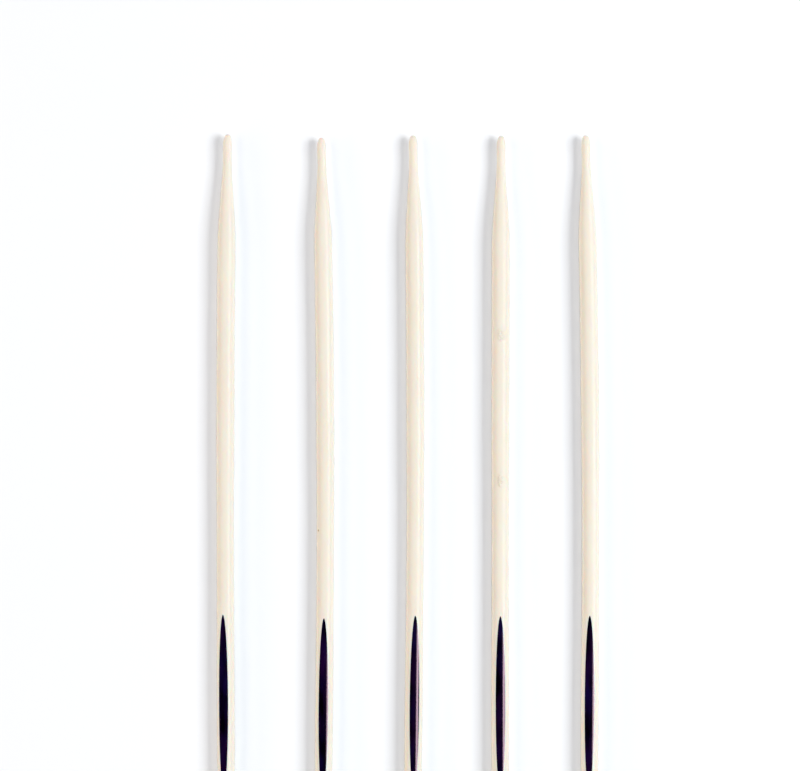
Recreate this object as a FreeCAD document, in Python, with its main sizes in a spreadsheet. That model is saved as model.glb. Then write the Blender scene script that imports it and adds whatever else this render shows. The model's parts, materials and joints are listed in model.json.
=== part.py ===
import FreeCAD, Part
import os

import Sketcher

# A set of double-pointed knitting needles, laid side by side on a table.
# Each needle is an ivory polymer sleeve moulded over a dark core. The core is a round rod with long lens-shaped
# pads at mid-length. The pads reach the surface and fill the sleeve's windows flush.
# Millimetres. +X across the row, +Y along the needles, +Z up. The origin is on the table, under the row's middle.

# Driving dimensions of a needle: alias, value, meaning. A reach is measured along the needle from its point.
NEEDLE_SIZES = (
    ("needle_length", 200.0, "overall length, point to point"),
    ("shaft_diameter", 3.14, "widest part of the shaft"),
    ("waist_diameter", 2.99, "slimmer stretch either side of the middle"),
    ("middle_diameter", 3.1, "slight swell at mid-length"),
    ("drop_diameter", 1.55, "widest part of the drop-shaped point"),
    ("neck_diameter", 1.48, "narrowest part, behind the drop"),
    ("nose_radius", 0.56, "rounding of the very point"),
    ("drop_reach", 1.9, "point to the widest part of the drop"),
    ("neck_reach", 4.1, "point to the neck"),
    ("cone_foot_reach", 7.6, "point to the slim end of the straight taper"),
    ("cone_top_reach", 14.0, "point to the thick end of the straight taper"),
    ("shoulder_reach", 20.4, "point to where the taper has run out into the shaft"),
    ("shaft_end_reach", 50.0, "point to where the shaft starts to slim towards the waist"),
    ("waist_far", 31.0, "middle to the far end of the waist"),
    ("waist_near", 17.0, "middle to the near end of the waist"),
    ("swell_half", 4.0, "half the length of the swell at the middle"),
    ("core_rod_diameter", 1.5, "round rod of the core"),
    ("core_end_reach", 14.0, "point to the rounded end of the core"),
    ("window_length", 31.0, "length of a lens-shaped window"),
    ("window_width", 1.66, "width of a window, straight across"),
    ("window_count", 2, "windows around the needle"),
)

# How each needle lies, from left to right: its middle across the row and along it in millimetres, then the turn
# of its far point and the roll of its upper window, both towards +X and in degrees. They are laid by hand.
LAY_WORDS = ("across", "along", "turn", "roll")
LAY = (
    (-32.26, 0.31, 0.18, -15.0),
    (-14.93, -0.31, -0.29, -6.0),
    (0.84, 0.13, -0.07, 4.5),
    (16.08, 0.04, 0.09, -1.0),
    (31.88, 0.13, -0.45, -8.0),
)

HALF_LENGTH = "Sizes.needle_length / 2"
START, END, CENTRE = 1, 2, 3
SKETCH_ORIGIN = (-1, 1)
SKETCH_ACROSS, SKETCH_ALONG = -1, -2


def fill_sheet(doc):
    """Write every driving dimension into the sheet: its meaning, its value and the value's alias."""
    sheet = doc.addObject("Spreadsheet::Sheet", "Sizes")
    rows = list(NEEDLE_SIZES)
    for number, values in enumerate(LAY, start=1):
        for word, value in zip(LAY_WORDS, values):
            rows.append((f"needle_{number}_{word}", value, f"needle {number}: {word}"))
    for row, (alias, value, meaning) in enumerate(rows, start=1):
        sheet.set(f"A{row}", meaning)
        sheet.set(f"B{row}", str(value))
        sheet.setAlias(f"B{row}", alias)
    doc.recompute()


def origin_feature(body, role):
    """One of the body's own origin planes or axes."""
    return next(item for item in body.Origin.OriginFeatures if item.Role == role)


def new_sketch(body, name):
    """An empty sketch on the body's XY plane. Sketch Y runs along the needle."""
    sketch = body.newObject("Sketcher::SketchObject", name)
    sketch.AttachmentSupport = [(origin_feature(body, "XY_Plane"), "")]
    sketch.MapMode = "FlatFace"
    return sketch


def arc_between(start, end, centre):
    """The short arc about a centre, from one point to another."""
    towards = (start - centre) + (end - centre)
    radius = (start - centre).Length
    return Part.Arc(start, centre + towards.normalize() * radius, end)


class HalfOutline:
    """A closed half outline in a sketch: a tangent chain from mid-length to the point, then back along the axis.

    Radii and distances from mid-length are expressions of the sheet, and each one is bound to a named constraint.
    The sketch stands half way between two windows, so that the seam of what is turned from it misses them.
    """

    def __init__(self, sketch):
        self.sketch = sketch
        self.tail = None
        self.tail_at = None
        half_way = "rotation(0; 180 / Sizes.window_count - 90; 0)"
        sketch.setExpression("AttachmentOffset", f"placement(vector(0; 0; 0); {half_way})")

    def value(self, expression):
        return float(self.sketch.evalExpression(expression))

    def point(self, radius, along):
        return FreeCAD.Vector(self.value(radius), self.value(along), 0)

    def constrain(self, kind, *items):
        return self.sketch.addConstraint(Sketcher.Constraint(kind, *items))

    def bind(self, kind, name, item, expression):
        """Hold a point at a distance across or along from the sketch's origin."""
        index = self.constrain(kind, *SKETCH_ORIGIN, *item, self.value(expression))
        self.sketch.renameConstraint(index, name)
        self.sketch.setExpression(f"Constraints.{name}", expression)

    def add_line(self, start, end):
        return self.sketch.addGeometry(Part.LineSegment(start, end), False)

    def add_arc(self, start, end, centre):
        """Add an arc. Returns it with the numbers of its first and last points along the chain."""
        arc = self.sketch.addGeometry(arc_between(start, end, centre), False)
        forward = self.sketch.getPoint(arc, START).isEqual(start, 1e-6)
        return (arc, START, END) if forward else (arc, END, START)

    def begin(self, name, radius, far):
        """Start with a level run at mid-length, out to a distance."""
        start, end = self.point(radius, "0"), self.point(radius, far)
        line = self.add_line(start, end)
        self.constrain("Vertical", line)
        self.constrain("PointOnObject", line, START, SKETCH_ACROSS)
        self.bind("DistanceX", f"{name}_radius", (line, START), radius)
        self.bind("DistanceY", f"{name}_far", (line, END), far)
        self.first = (line, START)
        self.tail, self.tail_at = (line, END), end

    def level_run(self, name, far):
        """Go on level, at the radius reached, out to a distance."""
        end = FreeCAD.Vector(self.tail_at.x, self.value(far), 0)
        line = self.add_line(self.tail_at, end)
        self.constrain("Vertical", line)
        self.constrain("Coincident", line, START, *self.tail)
        self.bind("DistanceY", f"{name}_far", (line, END), far)
        self.tail, self.tail_at = (line, END), end

    def blend_to(self, name, radius, along, cone=None):
        """Bend away from level and come back to level at a new radius.

        Two arcs meet half way, or each meets one end of a straight cone whose two ends are given.
        """
        start, end = self.tail_at, self.point(radius, along)
        middle = (start.y + end.y) / 2
        cone_near, cone_far = (self.value(item) for item in cone) if cone else (middle, middle)
        run_out, run_in = cone_near - start.y, end.y - cone_far
        half_slope = (end.x - start.x) / (run_out + run_in + 2 * (cone_far - cone_near))
        leave = FreeCAD.Vector(start.x + run_out * half_slope, cone_near, 0)
        arrive = FreeCAD.Vector(end.x - run_in * half_slope, cone_far, 0)
        out_arc, out_first, out_last = self.add_arc(start, leave, self.level_centre(start, leave))
        in_arc, in_first, in_last = self.add_arc(arrive, end, self.level_centre(end, arrive))
        self.constrain("Coincident", out_arc, out_first, *self.tail)
        self.constrain("Horizontal", out_arc, CENTRE, *self.tail)
        self.constrain("Horizontal", in_arc, CENTRE, in_arc, in_last)
        self.bind("DistanceX", f"{name}_radius", (in_arc, in_last), radius)
        self.bind("DistanceY", f"{name}_near", (in_arc, in_last), along)
        if cone:
            line = self.add_line(leave, arrive)
            self.constrain("Tangent", out_arc, out_last, line, START)
            self.constrain("Tangent", line, END, in_arc, in_first)
            self.bind("DistanceY", f"{name}_cone_near", (line, START), cone[0])
            self.bind("DistanceY", f"{name}_cone_far", (line, END), cone[1])
        else:
            self.constrain("Tangent", out_arc, out_last, in_arc, in_first)
            self.constrain("Equal", out_arc, in_arc)
        self.tail, self.tail_at = (in_arc, in_last), end

    @staticmethod
    def level_centre(level_point, other_point):
        """Centre of the arc through two points that runs along the needle at the first one."""
        across = other_point.x - level_point.x
        along = other_point.y - level_point.y
        radius = (across**2 + along**2) / (2 * across)
        return FreeCAD.Vector(level_point.x + radius, level_point.y, 0)

    def round_nose(self, nose_radius, end):
        """Close the drop with a flank arc that runs into a small round nose on the axis."""
        start, nose = self.tail_at, self.value(nose_radius)
        point = FreeCAD.Vector(0, self.value(end), 0)
        nose_centre = FreeCAD.Vector(0, point.y - nose, 0)
        reach = nose_centre.y - start.y
        flank_radius = (start.x**2 + reach**2 - nose**2) / (2 * (start.x - nose))
        flank_centre = FreeCAD.Vector(start.x - flank_radius, start.y, 0)
        joint = flank_centre + (nose_centre - flank_centre).normalize() * flank_radius
        flank, flank_first, flank_last = self.add_arc(start, joint, flank_centre)
        tip, tip_first, tip_last = self.add_arc(joint, point, nose_centre)
        self.constrain("Coincident", flank, flank_first, *self.tail)
        self.constrain("Horizontal", flank, CENTRE, *self.tail)
        self.constrain("Tangent", flank, flank_last, tip, tip_first)
        self.constrain("PointOnObject", tip, CENTRE, SKETCH_ALONG)
        self.constrain("PointOnObject", tip, tip_last, SKETCH_ALONG)
        index = self.constrain("Radius", tip, nose)
        self.sketch.renameConstraint(index, "nose_radius")
        self.sketch.setExpression("Constraints.nose_radius", nose_radius)
        self.bind("DistanceY", "point_far", (tip, tip_last), end)
        self.close((tip, tip_last), point)

    def round_end(self):
        """Close a rod with a half-round end."""
        start = self.tail_at
        centre = FreeCAD.Vector(0, start.y, 0)
        point = FreeCAD.Vector(0, start.y + start.x, 0)
        arc, first, last = self.add_arc(start, point, centre)
        self.constrain("Tangent", *self.tail, arc, first)
        self.constrain("PointOnObject", arc, CENTRE, SKETCH_ALONG)
        self.constrain("PointOnObject", arc, last, SKETCH_ALONG)
        self.close((arc, last), point)

    def close(self, last, point):
        """Run back along the axis and out to where the chain began."""
        origin = FreeCAD.Vector(0, 0, 0)
        axis_line = self.add_line(point, origin)
        self.constrain("Coincident", axis_line, START, *last)
        self.constrain("Coincident", axis_line, END, *SKETCH_ORIGIN)
        middle_line = self.add_line(origin, self.sketch.getPoint(*self.first))
        self.constrain("Coincident", middle_line, START, *SKETCH_ORIGIN)
        self.constrain("Coincident", middle_line, END, *self.first)


def revolve_and_mirror(doc, body, sketch):
    """Turn a half outline about the needle's axis, and mirror the result to the other end."""
    turned = body.newObject("PartDesign::Revolution", f"{body.Name}_half")
    turned.Profile = sketch
    turned.ReferenceAxis = (sketch, ["V_Axis"])
    turned.Angle = 360
    sketch.Visibility = False
    doc.recompute()
    mirrored = body.newObject("PartDesign::Mirrored", f"{body.Name}_whole")
    mirrored.Originals = [turned]
    mirrored.MirrorPlane = (origin_feature(body, "XZ_Plane"), [""])
    mirrored.Refine = True
    body.Tip = mirrored
    doc.recompute()


def make_outline(doc):
    """The whole needle's outer shape: two drop-shaped points, tapers, shaft, waist and middle swell."""
    body = doc.addObject("PartDesign::Body", "needle_outline")
    outline = HalfOutline(new_sketch(body, "needle_half_outline"))
    outline.begin("middle", "Sizes.middle_diameter / 2", "Sizes.swell_half")
    outline.blend_to("waist", "Sizes.waist_diameter / 2", "Sizes.waist_near")
    outline.level_run("waist", "Sizes.waist_far")
    outline.blend_to("shaft", "Sizes.shaft_diameter / 2", f"{HALF_LENGTH} - Sizes.shaft_end_reach")
    outline.level_run("shaft", f"{HALF_LENGTH} - Sizes.shoulder_reach")
    cone = (f"{HALF_LENGTH} - Sizes.cone_top_reach", f"{HALF_LENGTH} - Sizes.cone_foot_reach")
    outline.blend_to("neck", "Sizes.neck_diameter / 2", f"{HALF_LENGTH} - Sizes.neck_reach", cone)
    outline.blend_to("drop", "Sizes.drop_diameter / 2", f"{HALF_LENGTH} - Sizes.drop_reach")
    outline.round_nose("Sizes.nose_radius", HALF_LENGTH)
    revolve_and_mirror(doc, body, outline.sketch)
    return body


def make_rod(doc):
    """The core's round rod, with half-round ends inside the tapers."""
    body = doc.addObject("PartDesign::Body", "core_rod")
    outline = HalfOutline(new_sketch(body, "rod_half_outline"))
    radius = "Sizes.core_rod_diameter / 2"
    outline.begin("rod", radius, f"{HALF_LENGTH} - Sizes.core_end_reach - {radius}")
    outline.round_end()
    revolve_and_mirror(doc, body, outline.sketch)
    return body


def make_pads(doc):
    """Lens-shaped pads that stand out from the axis past the surface, spread evenly around the needle."""
    body = doc.addObject("PartDesign::Body", "core_pads")
    sketch = new_sketch(body, "pad_lens")
    half_long = float(sketch.evalExpression("Sizes.window_length / 2"))
    half_wide = float(sketch.evalExpression("Sizes.window_width / 2"))
    centre = FreeCAD.Vector(0, 0, 0)
    lens = Part.Ellipse(FreeCAD.Vector(0, half_long, 0), FreeCAD.Vector(-half_wide, 0, 0), centre)
    ellipse = sketch.addGeometry(lens, False)
    sketch.exposeInternalGeometry(ellipse)
    long_axis, wide_axis = ellipse + 1, ellipse + 2
    sketch.addConstraint(Sketcher.Constraint("Coincident", ellipse, CENTRE, *SKETCH_ORIGIN))
    sketch.addConstraint(Sketcher.Constraint("Vertical", long_axis))
    for axis, size in ((long_axis, "window_length"), (wide_axis, "window_width")):
        length = float(sketch.evalExpression(f"Sizes.{size}"))
        index = sketch.addConstraint(Sketcher.Constraint("Distance", axis, length))
        sketch.renameConstraint(index, size)
        sketch.setExpression(f"Constraints.{size}", f"Sizes.{size}")
    pad = body.newObject("PartDesign::Pad", "pad")
    pad.Profile = sketch
    pad.setExpression("Length", "Sizes.shaft_diameter")
    sketch.Visibility = False
    doc.recompute()
    pattern = body.newObject("PartDesign::PolarPattern", "pads_around")
    pattern.Originals = [pad]
    pattern.Axis = (origin_feature(body, "Y_Axis"), [""])
    pattern.Angle = 360
    pattern.setExpression("Occurrences", "Sizes.window_count")
    body.Tip = pattern
    doc.recompute()
    return body


def combine(doc, kind, name, base, tool):
    """A Part boolean of two objects."""
    result = doc.addObject(kind, name)
    result.Base = base
    result.Tool = tool
    result.Refine = True
    return result


def lay_down(piece, label, number):
    """Name a piece of a needle and lay it in the row, resting on the table at its widest."""
    piece.Label = label
    needle = f"Sizes.needle_{number}"
    place = f"vector({needle}_across; {needle}_along; Sizes.shaft_diameter / 2)"
    piece.setExpression("Placement", f"placement({place}; rotation(-{needle}_turn; {needle}_roll; 0))")


def make_needles(doc):
    """Every needle of the row: a sleeve and the core it is moulded over."""
    outline, rod, pads = make_outline(doc), make_rod(doc), make_pads(doc)
    flush_pads = combine(doc, "Part::Common", "flush_pads", outline, pads)
    core_shape = combine(doc, "Part::Fuse", "core_shape", rod, flush_pads)
    pieces = []
    for number in range(1, len(LAY) + 1):
        core = combine(doc, "Part::Fuse", f"core_{number}", rod, flush_pads)
        sleeve = combine(doc, "Part::Cut", f"sleeve_{number}", outline, core_shape)
        lay_down(core, f"needle_{number}_core", number)
        lay_down(sleeve, f"needle_{number}_sleeve", number)
        pieces += [core, sleeve]
    doc.recompute()
    return pieces


def check(doc, pieces):
    """Stop if anything failed to build, or if a piece isn't one valid solid."""
    for item in doc.Objects:
        if {"Invalid", "Error"} & set(item.State):
            raise RuntimeError(f"{item.Name} failed to build: {item.State}")
        if item.isDerivedFrom("Sketcher::SketchObject") and item.solve() != 0:
            raise RuntimeError(f"{item.Name} can't be solved")
    for piece in pieces:
        shape = piece.Shape
        if shape.isNull() or not shape.isValid() or len(shape.Solids) != 1:
            raise RuntimeError(f"{piece.Label} isn't one valid solid")


def main():
    doc = FreeCAD.newDocument("KnittingNeedles")
    fill_sheet(doc)
    pieces = make_needles(doc)
    check(doc, pieces)
    os.makedirs("parts", exist_ok=True)
    for piece in pieces:
        piece.Shape.exportStep(f"parts/{piece.Label}.step")


main()
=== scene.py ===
import cmath
import json
import logging
import math
from dataclasses import dataclass, field
from enum import Enum

import bpy
from mathutils import Matrix, Vector


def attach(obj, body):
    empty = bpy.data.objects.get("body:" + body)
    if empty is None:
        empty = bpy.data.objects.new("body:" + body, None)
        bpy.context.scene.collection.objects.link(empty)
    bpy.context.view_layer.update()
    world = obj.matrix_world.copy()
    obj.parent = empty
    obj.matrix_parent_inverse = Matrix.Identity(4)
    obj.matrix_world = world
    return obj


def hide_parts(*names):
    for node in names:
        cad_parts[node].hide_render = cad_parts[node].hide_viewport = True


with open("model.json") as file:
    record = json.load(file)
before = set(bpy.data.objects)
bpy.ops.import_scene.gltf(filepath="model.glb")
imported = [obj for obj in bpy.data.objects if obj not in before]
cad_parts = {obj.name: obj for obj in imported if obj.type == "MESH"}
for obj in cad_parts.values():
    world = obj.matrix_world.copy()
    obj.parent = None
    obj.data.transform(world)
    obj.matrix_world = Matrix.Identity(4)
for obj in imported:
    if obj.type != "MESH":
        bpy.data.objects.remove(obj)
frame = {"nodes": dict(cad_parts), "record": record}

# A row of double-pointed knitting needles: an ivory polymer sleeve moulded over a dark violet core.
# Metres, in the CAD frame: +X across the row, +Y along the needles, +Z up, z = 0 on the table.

MM = 0.001
FULL_TURN = 2 * math.pi
MERGE_WITHIN = 0.0005 * MM
SMOOTH_UP_TO = math.radians(35)

# A colour Mix node's sockets share their names with its other kinds of mix, so they go by number.
MIX_SHARE, MIX_FIRST, MIX_SECOND, MIX_RESULT = 0, 6, 7, 2

log = logging.getLogger("knitting_needles")


class Slot(Enum):
    """The record's material slots."""

    IVORY = "ivory_polymer"
    VIOLET = "violet_polymer"


class Boolean(Enum):
    """What a boolean modifier does with its tool."""

    CUT = "DIFFERENCE"
    KEEP_SHARED = "INTERSECT"
    JOIN = "UNION"


# --- materials --------------------------------------------------------------------------------------------


def linear(hex_colour: str) -> tuple[float, float, float, float]:
    """Turn an sRGB hex colour into the linear colour that a shader socket takes.

    Args:
        hex_colour: Six hex digits, such as "f2e8d5".

    Returns:
        Linear red, green and blue, and an alpha of 1.
    """
    channels = [int(hex_colour[at : at + 2], 16) / 255 for at in (0, 2, 4)]
    red, green, blue = (c / 12.92 if c <= 0.04045 else ((c + 0.055) / 1.055) ** 2.4 for c in channels)
    return red, green, blue, 1.0


def add_node(tree: bpy.types.NodeTree, kind: str, settings: dict, links: dict) -> bpy.types.Node:
    """Add a node with its settings and links.

    Args:
        tree: The material's node tree.
        kind: The node's type, without the "ShaderNode" that begins it.
        settings: Properties and sockets by name, or sockets by number, with their values.
        links: Input sockets by name or number, with the output that feeds each.

    Returns:
        The new node.
    """
    node = tree.nodes.new(f"ShaderNode{kind}")
    for name, value in settings.items():
        if isinstance(name, str) and name in node.bl_rna.properties:
            setattr(node, name, value)
        else:
            node.inputs[name].default_value = value
    for name, output in links.items():
        tree.links.new(output, node.inputs[name])
    return node


def new_material(name: str) -> bpy.types.Material:
    """Make an empty node material.

    Args:
        name: The real material and how it was made.

    Returns:
        The material, with no nodes.
    """
    material = bpy.data.materials.new(name)
    material.use_nodes = True
    material.node_tree.nodes.clear()
    return material


@dataclass(frozen=True)
class Mark:
    """A small mark of use on the skin, at a place in the frame, full within a share of its reach."""

    place: tuple[float, float, float]
    reach: float
    length_ratio: float = 1.0
    full_share: float = 0.5

    def cover(self, tree: bpy.types.NodeTree, place: bpy.types.NodeSocket) -> bpy.types.NodeSocket:
        """Share of the mark at each point: 1 at its middle, falling to 0 at its reach.

        Args:
            tree: The material's node tree.
            place: The point's place in the frame.

        Returns:
            The output that gives the share.
        """
        middle = self.place[0], self.place[1] / self.length_ratio, self.place[2]
        squeezed = add_node(
            tree,
            "VectorMath",
            {"operation": "MULTIPLY", 1: (1.0, 1 / self.length_ratio, 1.0)},
            {0: place},
        )
        away = add_node(
            tree, "VectorMath", {"operation": "DISTANCE", 1: middle}, {0: squeezed.outputs["Vector"]}
        )
        share = add_node(
            tree,
            "MapRange",
            {"From Min": self.reach, "From Max": self.full_share * self.reach},
            {"Value": away.outputs["Value"]},
        )
        return share.outputs["Result"]


@dataclass(frozen=True)
class MouldedIvory:
    """Ivory polymer, injection moulded and tumbled smooth.

    Silky rather than glossy, with light that sinks in a little, faint clouds where the melt flowed, a fine
    orange-peel skin, two small scuffs where needles have knocked together, and one dark fleck.
    """

    light_tone: str = "e8e3d6"
    deep_tone: str = "e5decf"
    cloud_size: float = 7 * MM
    cloud_detail: float = 3.0
    skin_size: float = 0.5 * MM
    skin_height: float = 0.003 * MM
    skin_detail: float = 2.0
    dent_size: float = 0.32 * MM
    dent_height: float = 0.26 * MM
    dent_detail: float = 1.0
    scuffs: tuple[Mark, ...] = (
        Mark((16.2 * MM, 65.0 * MM, 3.1 * MM), 0.8 * MM, 1.6),
        Mark((16.1 * MM, 39.4 * MM, 3.1 * MM), 0.6 * MM, 2.2),
    )
    fleck: Mark = Mark((-16.05 * MM, 30.6 * MM, 2.5 * MM), 0.3 * MM)
    fleck_tone: str = "b3a27c"
    roughness: float = 0.15
    ior: float = 1.49
    shine: float = 0.13
    light_share: float = 0.6
    light_depth: tuple[float, float, float] = (1.0, 0.5, 0.3)
    light_reach: float = 0.45 * MM

    def build(self) -> bpy.types.Material:
        """Build the ivory material.

        Returns:
            The finished material.
        """
        material = new_material("polymer_moulded_ivory")
        tree = material.node_tree
        place = add_node(tree, "TexCoord", {}, {}).outputs["Object"]
        shader = add_node(
            tree,
            "BsdfPrincipled",
            {
                "Roughness": self.roughness,
                "IOR": self.ior,
                "Specular IOR Level": self.shine,
                "Subsurface Weight": self.light_share,
                "Subsurface Radius": self.light_depth,
                "Subsurface Scale": self.light_reach,
            },
            {"Base Color": self.tone(tree, place), "Normal": self.relief(tree, place)},
        )
        add_node(tree, "OutputMaterial", {}, {"Surface": shader.outputs["BSDF"]})
        return material

    def tone(self, tree: bpy.types.NodeTree, place: bpy.types.NodeSocket) -> bpy.types.NodeSocket:
        """Colour: two close ivories in clouds, and the fleck.

        Args:
            tree: The material's node tree.
            place: The point's place in the frame.

        Returns:
            The output that gives the colour.
        """
        clouds = add_node(
            tree,
            "TexNoise",
            {"Scale": 1 / self.cloud_size, "Detail": self.cloud_detail},
            {"Vector": place},
        )
        body = add_node(
            tree,
            "Mix",
            {"data_type": "RGBA", MIX_FIRST: linear(self.light_tone), MIX_SECOND: linear(self.deep_tone)},
            {MIX_SHARE: clouds.outputs["Fac"]},
        )
        flecked = add_node(
            tree,
            "Mix",
            {"data_type": "RGBA", MIX_SECOND: linear(self.fleck_tone)},
            {MIX_SHARE: self.fleck.cover(tree, place), MIX_FIRST: body.outputs[MIX_RESULT]},
        )
        return flecked.outputs[MIX_RESULT]

    def relief(self, tree: bpy.types.NodeTree, place: bpy.types.NodeSocket) -> bpy.types.NodeSocket:
        """Surface relief: the moulded skin all over, and small dents within each scuff.

        Args:
            tree: The material's node tree.
            place: The point's place in the frame.

        Returns:
            The output that gives the normal.
        """
        skin = add_node(
            tree,
            "TexNoise",
            {"Scale": 1 / self.skin_size, "Detail": self.skin_detail},
            {"Vector": place},
        )
        bump = add_node(tree, "Bump", {"Distance": self.skin_height}, {"Height": skin.outputs["Fac"]})
        dents = add_node(
            tree,
            "TexNoise",
            {"Scale": 1 / self.dent_size, "Detail": self.dent_detail},
            {"Vector": place},
        )
        for scuff in self.scuffs:
            depth = add_node(
                tree,
                "Math",
                {"operation": "MULTIPLY"},
                {0: dents.outputs["Fac"], 1: scuff.cover(tree, place)},
            )
            bump = add_node(
                tree,
                "Bump",
                {"Distance": self.dent_height},
                {"Height": depth.outputs["Value"], "Normal": bump.outputs["Normal"]},
            )
        return bump.outputs["Normal"]


@dataclass(frozen=True)
class MouldedViolet:
    """Dark violet polymer, polished by its mould.

    Nearly black and glossy, with faint violet streaks along the needle where the melt flowed, and a pinkish
    gleam under strong light.
    """

    deep_tone: str = "020006"
    blue_tone: str = "0e0430"
    plum_tone: str = "18032a"
    blend_size: float = 5 * MM
    blend_range: tuple[float, float] = (0.42, 0.58)
    streak_width: float = 1.6 * MM
    streak_stretch: float = 3.5
    streak_detail: float = 3.0
    streak_range: tuple[float, float] = (0.35, 0.68)
    skin_size: float = 0.3 * MM
    skin_height: float = 0.001 * MM
    skin_detail: float = 2.0
    gleam_tone: str = "ffd8ee"
    roughness: float = 0.17
    ior: float = 1.6

    def build(self) -> bpy.types.Material:
        """Build the violet material.

        Returns:
            The finished material.
        """
        material = new_material("polymer_moulded_violet")
        tree = material.node_tree
        place = add_node(tree, "TexCoord", {}, {}).outputs["Object"]
        along = add_node(
            tree,
            "VectorMath",
            {"operation": "MULTIPLY", 1: (1.0, 1 / self.streak_stretch, 1.0)},
            {0: place},
        )
        streaks = add_node(
            tree,
            "TexNoise",
            {"Scale": 1 / self.streak_width, "Detail": self.streak_detail},
            {"Vector": along.outputs["Vector"]},
        )
        share = add_node(
            tree,
            "MapRange",
            {"From Min": self.streak_range[0], "From Max": self.streak_range[1]},
            {"Value": streaks.outputs["Fac"]},
        )
        blend = add_node(tree, "TexNoise", {"Scale": 1 / self.blend_size}, {"Vector": place})
        blend_share = add_node(
            tree,
            "MapRange",
            {"From Min": self.blend_range[0], "From Max": self.blend_range[1]},
            {"Value": blend.outputs["Fac"]},
        )
        bright = add_node(
            tree,
            "Mix",
            {"data_type": "RGBA", MIX_FIRST: linear(self.blue_tone), MIX_SECOND: linear(self.plum_tone)},
            {MIX_SHARE: blend_share.outputs["Result"]},
        )
        tone = add_node(
            tree,
            "Mix",
            {"data_type": "RGBA", MIX_FIRST: linear(self.deep_tone)},
            {MIX_SHARE: share.outputs["Result"], MIX_SECOND: bright.outputs[MIX_RESULT]},
        )
        skin = add_node(
            tree,
            "TexNoise",
            {"Scale": 1 / self.skin_size, "Detail": self.skin_detail},
            {"Vector": place},
        )
        bump = add_node(tree, "Bump", {"Distance": self.skin_height}, {"Height": skin.outputs["Fac"]})
        shader = add_node(
            tree,
            "BsdfPrincipled",
            {"Roughness": self.roughness, "IOR": self.ior, "Specular Tint": linear(self.gleam_tone)},
            {"Base Color": tone.outputs[MIX_RESULT], "Normal": bump.outputs["Normal"]},
        )
        add_node(tree, "OutputMaterial", {}, {"Surface": shader.outputs["BSDF"]})
        return material


@dataclass(frozen=True)
class PaintedTable:
    """White painted board: a matt, even ground in two whites that are barely apart, as a roller leaves it."""

    tone: str = "f1f3f5"
    shade_tone: str = "eff2f4"
    patch_size: float = 40 * MM
    roughness: float = 0.9

    def build(self) -> bpy.types.Material:
        """Build the table's material.

        Returns:
            The finished material.
        """
        material = new_material("board_painted_white")
        tree = material.node_tree
        place = add_node(tree, "TexCoord", {}, {}).outputs["Object"]
        patches = add_node(tree, "TexNoise", {"Scale": 1 / self.patch_size}, {"Vector": place})
        tone = add_node(
            tree,
            "Mix",
            {"data_type": "RGBA", MIX_FIRST: linear(self.tone), MIX_SECOND: linear(self.shade_tone)},
            {MIX_SHARE: patches.outputs["Fac"]},
        )
        shader = add_node(
            tree,
            "BsdfPrincipled",
            {"Roughness": self.roughness},
            {"Base Color": tone.outputs[MIX_RESULT]},
        )
        add_node(tree, "OutputMaterial", {}, {"Surface": shader.outputs["BSDF"]})
        return material


# --- modelling helpers ------------------------------------------------------------------------------------


def activate(piece: bpy.types.Object) -> None:
    """Select one object alone and make it the active one."""
    bpy.ops.object.select_all(action="DESELECT")
    piece.select_set(True)
    bpy.context.view_layer.objects.active = piece


def finish_edit(name: str) -> bpy.types.Object:
    """Merge doubles, turn every face outwards and leave edit mode.

    Args:
        name: The finished object's name.

    Returns:
        The object, at the origin.
    """
    bpy.ops.mesh.select_all(action="SELECT")
    bpy.ops.mesh.remove_doubles(threshold=MERGE_WITHIN)
    bpy.ops.mesh.normals_make_consistent(inside=False)
    bpy.ops.object.mode_set(mode="OBJECT")
    piece = bpy.context.active_object
    piece.name = name
    return piece


def turn_outline(name: str, points: list[Vector], sides: int) -> bpy.types.Object:
    """Draw an outline by extruding one corner from point to point, then spin it about the needle's axis.

    Args:
        name: The object's name.
        points: The outline, from the axis at one end to the axis at the other.
        sides: Steps around the axis.

    Returns:
        A closed solid of revolution about the Y axis.
    """
    bpy.ops.object.select_all(action="DESELECT")
    bpy.ops.mesh.primitive_plane_add(size=MM)
    bpy.ops.object.mode_set(mode="EDIT")
    bpy.ops.mesh.merge(type="CENTER")
    bpy.ops.transform.translate(value=points[0])
    for before, after in zip(points, points[1:]):
        bpy.ops.mesh.extrude_vertices_move(TRANSFORM_OT_translate={"value": after - before})
    bpy.ops.mesh.select_all(action="SELECT")
    bpy.ops.mesh.spin(steps=sides, angle=FULL_TURN, center=(0, 0, 0), axis=(0, 1, 0))
    return finish_edit(name)


def apply_boolean(piece: bpy.types.Object, tool: bpy.types.Object, operation: Boolean) -> None:
    """Add a boolean modifier and apply it.

    Args:
        piece: The object to change.
        tool: The other object, which stays.
        operation: What to do with the tool.
    """
    activate(piece)
    modifier = piece.modifiers.new(operation.name, "BOOLEAN")
    modifier.object = tool
    modifier.operation = operation.value
    modifier.solver = "EXACT"
    bpy.ops.object.modifier_apply(modifier=modifier.name)


def copy_of(piece: bpy.types.Object, name: str) -> bpy.types.Object:
    """Copy an object with a mesh of its own.

    Args:
        piece: The object to copy.
        name: The copy's name.

    Returns:
        The copy, in the scene.
    """
    copied = piece.copy()
    copied.data = piece.data.copy()
    copied.name = name
    copied.data.name = name
    bpy.context.scene.collection.objects.link(copied)
    return copied


# --- the needle -------------------------------------------------------------------------------------------


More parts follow.
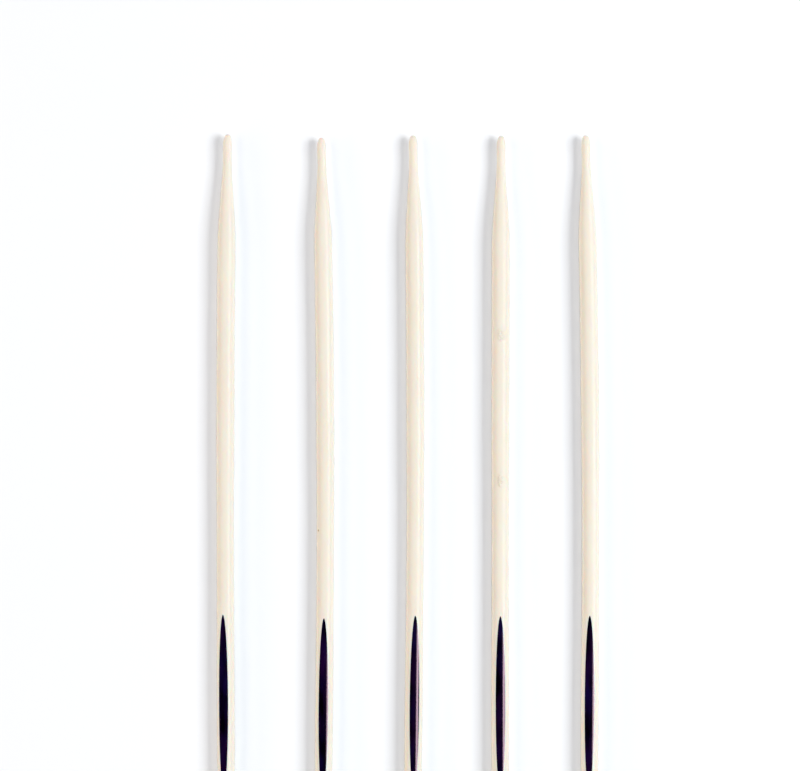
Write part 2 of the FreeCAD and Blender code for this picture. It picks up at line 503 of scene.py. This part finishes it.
@dataclass(frozen=True)
class Bend:
    """A stretch of outline that leaves level, may run straight, and comes back to level at another radius."""

    run_out: float
    straight: float
    run_in: float

    def rise(self, gone: float) -> float:
        """Share of the change in radius reached after a distance.

        Args:
            gone: Distance from the bend's start.

        Returns:
            A share from 0 to 1.
        """
        steepness = 1 / (self.run_out / 2 + self.straight + self.run_in / 2)
        if gone < self.run_out:
            return steepness * gone**2 / (2 * self.run_out)
        left = self.run_out + self.straight + self.run_in - gone
        if left < self.run_in:
            return 1 - steepness * left**2 / (2 * self.run_in)
        return steepness * (self.run_out / 2 + gone - self.run_out)


@dataclass(frozen=True)
class NeedleShape:
    """Sizes of one needle and its two pieces. A reach is measured along the needle from its point."""

    length: float = 200 * MM
    shaft_radius: float = 1.57 * MM
    waist_radius: float = 1.495 * MM
    middle_radius: float = 1.55 * MM
    drop_radius: float = 0.775 * MM
    neck_radius: float = 0.74 * MM
    nose_radius: float = 0.56 * MM
    drop_reach: float = 1.9 * MM
    neck_reach: float = 4.1 * MM
    cone_foot_reach: float = 7.6 * MM
    cone_top_reach: float = 14.0 * MM
    shoulder_reach: float = 20.4 * MM
    shaft_end_reach: float = 50.0 * MM
    waist_far: float = 31.0 * MM
    waist_near: float = 17.0 * MM
    swell_half: float = 4.0 * MM
    rod_radius: float = 0.75 * MM
    rod_end_reach: float = 14.0 * MM
    window_length: float = 31.0 * MM
    window_width: float = 1.66 * MM
    window_count: int = 2
    ring_spacing: float = 1.0 * MM
    bend_rings: int = 6
    nose_rings: int = 10
    sides: int = 96
    lens_corners: int = 160

    @property
    def half(self) -> float:
        """Half the needle's length."""
        return self.length / 2

    @property
    def pads_from(self) -> float:
        """Distance from the axis past which the core has only its pads, and no rod."""
        return 1.5 * self.rod_radius

    @property
    def lens_reach(self) -> float:
        """Distance from the axis to each end of the block that cuts the windows, well past the surface."""
        return 2 * self.shaft_radius

    def bend(self, start: Vector, end: Vector, straight: tuple[float, float] | None = None) -> list[Vector]:
        """Points of a bend, after its first one.

        Args:
            start: Where it leaves level.
            end: Where it is level again.
            straight: Where along the needle its straight stretch starts and ends, if it has one.

        Returns:
            Points about a ring's spacing apart, and no fewer than a bend needs to look round.
        """
        middle = (start.y + end.y) / 2
        near, far = straight or (middle, middle)
        bend = Bend(near - start.y, far - near, end.y - far)
        steps = max(self.bend_rings, math.ceil((end.y - start.y) / self.ring_spacing))
        points = []
        for step in range(1, steps + 1):
            gone = (end.y - start.y) * step / steps
            radius = start.x + (end.x - start.x) * bend.rise(gone)
            points.append(Vector((radius, start.y + gone, 0)))
        return points

    def level(self, start: Vector, far: float) -> list[Vector]:
        """Points of a level run, after its first one.

        Args:
            start: Where it starts.
            far: Where along the needle it ends.

        Returns:
            Points about a ring's spacing apart.
        """
        run = far - start.y
        steps = max(1, math.ceil(run / self.ring_spacing))
        return [Vector((start.x, start.y + run * step / steps, 0)) for step in range(1, steps + 1)]

    def nose(self, start: Vector) -> list[Vector]:
        """Points from the drop's widest place to the tip: a long flank arc, then a small round nose.

        Args:
            start: The drop's widest place.

        Returns:
            Points that end on the axis.
        """
        nose_centre = Vector((0, self.half - self.nose_radius, 0))
        reach = nose_centre.y - start.y
        flank_radius = (start.x**2 + reach**2 - self.nose_radius**2) / (2 * (start.x - self.nose_radius))
        flank_centre = Vector((start.x - flank_radius, start.y, 0))
        meeting = math.atan2(reach, -flank_centre.x)
        points = []
        for step in range(1, self.nose_rings + 1):
            angle = meeting * step / self.nose_rings
            points.append(flank_centre + flank_radius * Vector((math.cos(angle), math.sin(angle), 0)))
        for step in range(1, self.nose_rings + 1):
            angle = meeting + (math.pi / 2 - meeting) * step / self.nose_rings
            points.append(nose_centre + self.nose_radius * Vector((math.cos(angle), math.sin(angle), 0)))
        return points

    def half_outline(self) -> list[Vector]:
        """Draw the skin's outline.

        Returns:
            Points from mid-length to the tip.
        """
        points = [Vector((self.middle_radius, 0, 0))]
        points += self.level(points[-1], self.swell_half)
        points += self.bend(points[-1], Vector((self.waist_radius, self.waist_near, 0)))
        points += self.level(points[-1], self.waist_far)
        points += self.bend(points[-1], Vector((self.shaft_radius, self.half - self.shaft_end_reach, 0)))
        points += self.level(points[-1], self.half - self.shoulder_reach)
        neck = Vector((self.neck_radius, self.half - self.neck_reach, 0))
        cone = (self.half - self.cone_top_reach, self.half - self.cone_foot_reach)
        points += self.bend(points[-1], neck, cone)
        points += self.bend(points[-1], Vector((self.drop_radius, self.half - self.drop_reach, 0)))
        points += self.nose(points[-1])
        return points

    def rod_half_outline(self) -> list[Vector]:
        """Draw the core rod's outline.

        Returns:
            Points from mid-length to the top of the rod's half-round end.
        """
        centre = Vector((0, self.half - self.rod_end_reach - self.rod_radius, 0))
        points = [Vector((self.rod_radius, 0, 0))]
        points += self.level(points[-1], centre.y)
        for step in range(1, self.nose_rings + 1):
            angle = math.pi / 2 * step / self.nose_rings
            points.append(centre + self.rod_radius * Vector((math.cos(angle), math.sin(angle), 0)))
        return points


def both_ways(half_outline: list[Vector]) -> list[Vector]:
    """Extend a half outline by its own mirror image.

    Args:
        half_outline: Points from mid-length to the far end.

    Returns:
        Points from the near end to the far end.
    """
    mirrored = [Vector((point.x, -point.y, point.z)) for point in reversed(half_outline[1:])]
    return mirrored + half_outline


@dataclass
class NeedleMould:
    """Makes one sleeve and one core about the Y axis, windows up and down, to be copied for every needle."""

    shape: NeedleShape
    sleeve: bpy.types.Object = field(init=False)
    core: bpy.types.Object = field(init=False)

    def build(self) -> None:
        """Mould the core and the sleeve from the same skin, and clear away what they were cut with."""
        blank = turn_outline("blank", both_ways(self.shape.rod_half_outline()), self.shape.sides)
        lens = self.make_lens()
        apply_boolean(blank, lens, Boolean.JOIN)
        self.sleeve = turn_outline("sleeve_mould", both_ways(self.shape.half_outline()), self.shape.sides)
        self.core = copy_of(self.sleeve, "core_mould")
        apply_boolean(self.core, blank, Boolean.KEEP_SHARED)
        apply_boolean(self.sleeve, blank, Boolean.CUT)
        bpy.data.objects.remove(lens)
        bpy.data.objects.remove(blank)

    def make_lens(self) -> bpy.types.Object:
        """Model the lens-shaped block that passes right through the needle, from window to opposite window.

        Returns:
            The block, upright.
        """
        shape = self.shape
        bpy.ops.object.select_all(action="DESELECT")
        bpy.ops.mesh.primitive_circle_add(vertices=shape.lens_corners, radius=1, fill_type="NGON")
        bpy.ops.object.mode_set(mode="EDIT")
        bpy.ops.transform.resize(value=(shape.window_width / 2, shape.window_length / 2, 1))
        bpy.ops.transform.translate(value=(0, 0, -shape.lens_reach))
        bpy.ops.mesh.extrude_region_move(TRANSFORM_OT_translate={"value": (0, 0, 2 * shape.lens_reach)})
        return finish_edit("lens")

    def clear(self) -> None:
        """Remove the two mould objects once every needle has been copied from them."""
        for piece in (self.sleeve, self.core):
            bpy.data.objects.remove(piece)


@dataclass
class Needle:
    """One needle of the row, laid where its CAD pieces lie."""

    number: int
    bow: float
    shape: NeedleShape
    sleeve_finish: bpy.types.Material
    core_finish: bpy.types.Material

    def mount(self, end: str) -> Vector:
        """Place of one of this needle's shaft mounts.

        Args:
            end: "near" or "far".

        Returns:
            The mount's point, on the needle's axis.
        """
        name = f"needle_{self.number}_{end}_shaft"
        return Vector(next(m["pos_m"] for m in frame["record"]["mounts"] if m["name"] == name))

    def lie(self) -> Matrix:
        """Find where the needle lies, from its two shaft mounts.

        Returns:
            The turn and place that carry it there from the mould, with no roll.
        """
        near, far = self.mount("near"), self.mount("far")
        along = (far - near).normalized()
        turn = math.atan2(-along.x, along.y)
        return Matrix.Translation((near + far) / 2) @ Matrix.Rotation(turn, 4, "Z")

    def roll(self) -> float:
        """Find how far the needle is rolled, from where the CAD core's pads stand.

        Returns:
            The roll of the upper window towards +X, in radians.
        """
        to_mould = self.lie().inverted()
        total = 0j
        for vertex in frame["nodes"][f"needle_{self.number}_core"].data.vertices:
            at = to_mould @ vertex.co
            if math.hypot(at.x, at.z) > self.shape.pads_from:
                # Times the number of windows, every window's angle is the same, so they add up.
                total += cmath.exp(1j * self.shape.window_count * math.atan2(at.x, at.z))
        return cmath.phase(total) / self.shape.window_count

    def lay(self, mould: bpy.types.Object, part: str) -> bpy.types.Object:
        """Copy a moulded piece, roll it, give it the needle's slight bow and lay it in the row.

        Args:
            mould: The piece to copy.
            part: "sleeve" or "core".

        Returns:
            The finished mesh, at the origin with its place in its mesh.
        """
        piece = copy_of(mould, f"needle_{self.number}_moulded_{part}")
        piece.data.transform(Matrix.Rotation(self.roll(), 4, "Y"))
        # One arc on each half, to opposite sides, so the middle and both points stay on the needle's line.
        for vertex in piece.data.vertices:
            vertex.co.x += self.bow * math.sin(math.pi * vertex.co.y / self.shape.half)
        piece.data.transform(self.lie())
        activate(piece)
        bpy.ops.object.shade_smooth_by_angle(angle=SMOOTH_UP_TO)
        return piece

    def build(self, mould: NeedleMould) -> None:
        """Lay both pieces, dress them and ride them on the needle's body.

        Args:
            mould: The shared mould.
        """
        sleeve = self.lay(mould.sleeve, "sleeve")
        core = self.lay(mould.core, "core")
        for piece, part, finish, slot in (
            (sleeve, "sleeve", self.sleeve_finish, Slot.IVORY),
            (core, "core", self.core_finish, Slot.VIOLET),
        ):
            piece.data.materials.clear()
            piece.data.materials.append(finish)
            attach(piece, f"needle_{self.number}")
            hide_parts(f"needle_{self.number}_{part}")
            log.info("%s: %d faces", piece.name, len(piece.data.polygons))


@dataclass
class NeedleRow:
    """The whole set. Each needle has its own slight bow, from being packed and used."""

    shape: NeedleShape = NeedleShape()
    bows: tuple[float, ...] = (-0.23 * MM, 0.44 * MM, 0.37 * MM, -0.05 * MM, 0.44 * MM)

    def build(self) -> None:
        """Mould one needle and lay every needle of the row."""
        ivory, violet = MouldedIvory().build(), MouldedViolet().build()
        mould = NeedleMould(self.shape)
        mould.build()
        for number, bow in enumerate(self.bows, start=1):
            Needle(number, bow, self.shape, ivory, violet).build(mould)
        mould.clear()


# --- the studio -------------------------------------------------------------------------------------------


@dataclass(frozen=True)
class SoftBox:
    """A rectangular studio light that leans over the row, towards +X if its lean is positive."""

    name: str
    lean: float
    distance: float
    width: float
    length: float
    watts: float
    colour: str = "ffffff"
    shines: bool = False

    def build(self, aim: Vector) -> None:
        """Hang the light and turn it to the row.

        Args:
            aim: The point it faces.
        """
        data = bpy.data.lights.new(self.name, "AREA")
        data.shape = "RECTANGLE"
        data.size, data.size_y = self.width, self.length
        data.energy = self.watts
        data.color = linear(self.colour)[:3]
        lamp = bpy.data.objects.new(self.name, data)
        lamp.visible_glossy = self.shines
        lamp.rotation_euler = (0, self.lean, 0)
        lamp.location = aim + Matrix.Rotation(self.lean, 3, "Y") @ Vector((0, 0, self.distance))
        bpy.context.scene.collection.objects.link(lamp)


@dataclass(frozen=True)
class Studio:
    """A white table, soft light, most of it from the right, and a camera straight above the far half.

    Only the key light is mirrored in the needles, as one narrow gleam along each. The others and the sky fill
    the shade.
    """

    table_side: float = 3.0
    axis_height: float = 1.57 * MM
    view_centre: tuple[float, float] = (-1.58 * MM, 56.1 * MM)
    view_width: float = 140.9 * MM
    lens: float = 150.0
    sky_strength: float = 0.1
    sky_colour: str = "ffffff"
    lights: tuple[SoftBox, ...] = (
        SoftBox("key", math.radians(47), distance=1.1, width=0.49, length=0.61, watts=9.7, shines=True),
        SoftBox("fill", math.radians(-47), distance=0.9, width=0.26, length=1.0, watts=2.0, colour="fff0e2"),
        SoftBox("top", 0.0, distance=1.1, width=0.4, length=1.4, watts=6.0, colour="e9f2ff"),
        SoftBox("low", math.radians(-74), distance=1.0, width=0.4, length=1.4, watts=4.7, colour="fbe2cc"),
    )

    def build(self) -> None:
        """Build the table, lights, sky and camera."""
        bpy.ops.object.select_all(action="DESELECT")
        bpy.ops.mesh.primitive_plane_add(size=self.table_side)
        table = bpy.context.active_object
        table.name = "table"
        table.data.materials.append(PaintedTable().build())
        aim = Vector((*self.view_centre, 0))
        for light in self.lights:
            light.build(aim)
        world = bpy.data.worlds.new("studio")
        world.use_nodes = True
        background = world.node_tree.nodes["Background"]
        background.inputs["Color"].default_value = linear(self.sky_colour)
        background.inputs["Strength"].default_value = self.sky_strength
        world.cycles_visibility.glossy = False
        bpy.context.scene.world = world
        bpy.context.scene.view_settings.view_transform = "Standard"
        self.place_camera()

    def place_camera(self) -> None:
        """Hang the camera straight above the view's centre, so far up that the view has its width."""
        data = bpy.data.cameras.new("camera")
        data.lens = self.lens
        distance = self.view_width * data.lens / data.sensor_width
        camera = bpy.data.objects.new("camera", data)
        camera.location = (*self.view_centre, self.axis_height + distance)
        bpy.context.scene.collection.objects.link(camera)
        bpy.context.scene.camera = camera


def main() -> None:
    """Build the row and its studio."""
    logging.basicConfig(level=logging.INFO)
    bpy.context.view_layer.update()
    NeedleRow().build()
    Studio().build()


if __name__ == "__main__":
    main()
